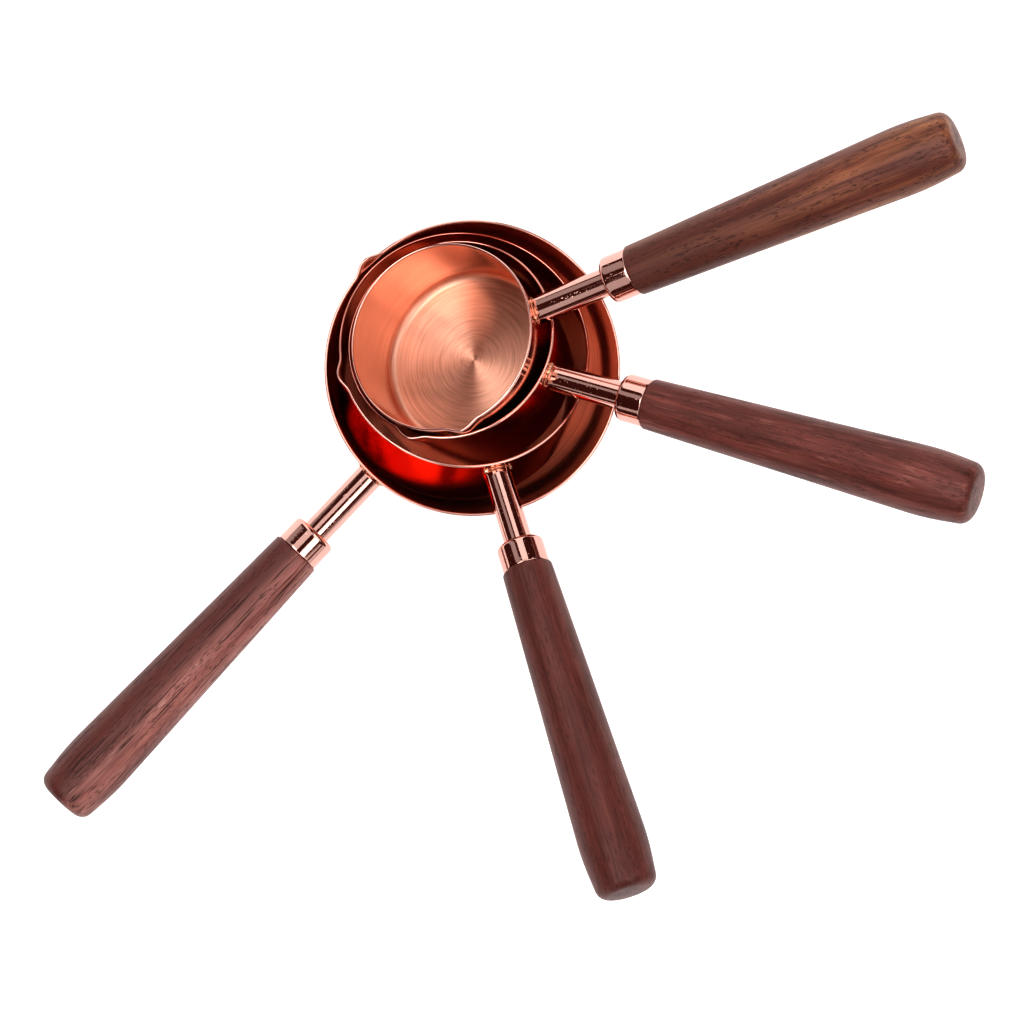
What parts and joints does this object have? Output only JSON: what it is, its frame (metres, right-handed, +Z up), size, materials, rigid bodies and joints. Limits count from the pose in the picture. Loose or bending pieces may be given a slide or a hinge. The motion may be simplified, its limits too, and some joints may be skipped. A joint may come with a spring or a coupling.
{
  "type": "measuring cup set",
  "caption": "Nested round measuring cups in copper-plated steel, each with a pouring lip, a tubular stem, a collar and a turned walnut handle, for measuring dry and liquid ingredients.",
  "frame": {"origin": "centre of the largest cup's flat base", "axes": "+Z up along the largest cup's axis; the set is seen with +X to the right when looked at from above with +Y up the view"},
  "size_m": [0.2581, 0.2122, 0.1138],
  "materials": {
    "copper_bowl": "copper-plated pressed steel, bright walls and a base spun with fine rings inside",
    "copper_tube": "copper-plated steel, polished",
    "copper_weld": "plated weld metal, uneven and bright",
    "inner_steel": "plain steel, hidden inside the handle",
    "walnut": "oiled walnut, straight fine grain with open pores"
  },
  "bodies": {
    "one_cup": {"one_cup_bowl": "copper_bowl", "one_cup_stem": "copper_tube", "one_cup_weld_bead": "copper_weld", "one_cup_ferrule": "copper_tube", "one_cup_stem_plug": "inner_steel", "one_cup_stud": "inner_steel", "one_cup_handle": "walnut"},
    "half_cup": {"half_cup_bowl": "copper_bowl", "half_cup_stem": "copper_tube", "half_cup_weld_bead": "copper_weld", "half_cup_ferrule": "copper_tube", "half_cup_stem_plug": "inner_steel", "half_cup_stud": "inner_steel", "half_cup_handle": "walnut"},
    "third_cup": {"third_cup_bowl": "copper_bowl", "third_cup_stem": "copper_tube", "third_cup_weld_bead": "copper_weld", "third_cup_ferrule": "copper_tube", "third_cup_stem_plug": "inner_steel", "third_cup_stud": "inner_steel", "third_cup_handle": "walnut"},
    "quarter_cup": {"quarter_cup_bowl": "copper_bowl", "quarter_cup_stem": "copper_tube", "quarter_cup_weld_bead": "copper_weld", "quarter_cup_ferrule": "copper_tube", "quarter_cup_stem_plug": "inner_steel", "quarter_cup_stud": "inner_steel", "quarter_cup_handle": "walnut"}
  },
  "joints": [
    {"name": "half_cup_lift", "type": "slide", "parent": "one_cup", "child": "half_cup", "axis": [0, 0, 1], "range_m": [0, 0.065]},
    {"name": "third_cup_lift", "type": "slide", "parent": "half_cup", "child": "third_cup", "axis": [0.0742, 0.3523, 0.933], "range_m": [0, 0.05]},
    {"name": "quarter_cup_lift", "type": "slide", "parent": "third_cup", "child": "quarter_cup", "axis": [-0.2379, 0.3474, 0.907], "range_m": [0, 0.045]}
  ]
}
